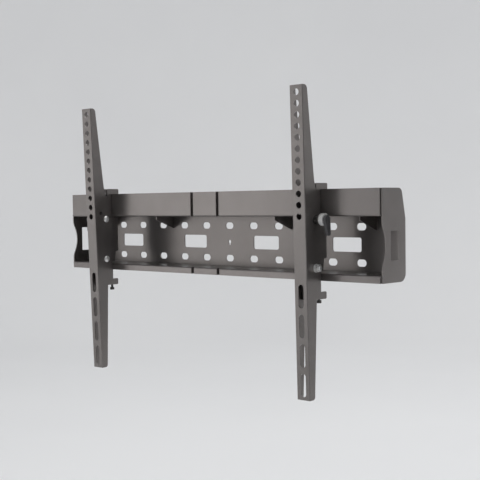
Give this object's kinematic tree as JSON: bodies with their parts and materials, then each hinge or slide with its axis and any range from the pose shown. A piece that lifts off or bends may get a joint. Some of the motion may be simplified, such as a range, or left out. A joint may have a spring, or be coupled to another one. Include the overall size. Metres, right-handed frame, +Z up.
{
  "type": "tv wall mount",
  "caption": "Tilting wall mount for a flat screen: a folded steel rail with slotted upright arms that hook on it, slide along it and tilt.",
  "frame": {"origin": "centre of the wall-bolt slots, on the wall plane", "axes": "+X along the wall to the right as seen from the room, +Y into the wall, +Z up"},
  "size_m": [0.644, 0.0989, 0.4217],
  "materials": {
    "grey_paint": "satin metallic dark grey paint",
    "zinc": "bright zinc plate",
    "grip_plastic": "fine-grained dark grey plastic",
    "black_screw": "black oxide"
  },
  "bodies": {
    "rail": {"wall_plate": "grey_paint", "end_plate_left": "grey_paint", "end_plate_right": "grey_paint", "gusset_outer_left": "grey_paint", "gusset_inner_left": "grey_paint", "gusset_inner_right": "grey_paint", "gusset_outer_right": "grey_paint"},
    "carriage_left": {"hook_bracket_left": "grey_paint", "pivot_bolt_left": "zinc", "pivot_washer_left": "zinc", "pivot_nut_left": "zinc", "tilt_bolt_left": "zinc", "tilt_washer_left": "zinc"},
    "arm_left": {"arm_left": "grey_paint"},
    "lever_left": {"lever_hub_left": "zinc", "lever_grip_left": "grip_plastic"},
    "lock_left": {"lock_screw_left": "black_screw"},
    "carriage_right": {"hook_bracket_right": "grey_paint", "pivot_bolt_right": "zinc", "pivot_washer_right": "zinc", "pivot_nut_right": "zinc", "tilt_bolt_right": "zinc", "tilt_washer_right": "zinc"},
    "arm_right": {"arm_right": "grey_paint"},
    "lever_right": {"lever_hub_right": "zinc", "lever_grip_right": "grip_plastic"},
    "lock_right": {"lock_screw_right": "black_screw"}
  },
  "joints": [
    {"name": "slide_left", "type": "slide", "parent": "rail", "child": "carriage_left", "axis": [1, 0, 0], "range_m": [-0.0755, 0.1245]},
    {"name": "tilt_left", "type": "hinge", "parent": "carriage_left", "child": "arm_left", "pos_m": [-0.2245, -0.07, -0.029], "axis": [1, 0, 0], "range_deg": [-2.2, 4.8]},
    {"name": "clamp_left", "type": "hinge", "parent": "carriage_left", "child": "lever_left", "pos_m": [-0.2245, -0.07, 0.036], "axis": [1, 0, 0], "range_deg": [-60, 60]},
    {"name": "lock_left", "type": "slide", "parent": "carriage_left", "child": "lock_left", "axis": [0, 0, 1], "range_m": [-0.012, 0.0045]},
    {"name": "slide_right", "type": "slide", "parent": "rail", "child": "carriage_right", "axis": [1, 0, 0], "range_m": [-0.1135, 0.0865]},
    {"name": "tilt_right", "type": "hinge", "parent": "carriage_right", "child": "arm_right", "pos_m": [0.2135, -0.07, -0.029], "axis": [1, 0, 0], "range_deg": [-1.35, 5.65]},
    {"name": "clamp_right", "type": "hinge", "parent": "carriage_right", "child": "lever_right", "pos_m": [0.2135, -0.07, 0.036], "axis": [1, 0, 0], "range_deg": [-60, 60]},
    {"name": "lock_right", "type": "slide", "parent": "carriage_right", "child": "lock_right", "axis": [0, 0, 1], "range_m": [-0.0148, 0.0017]}
  ]
}
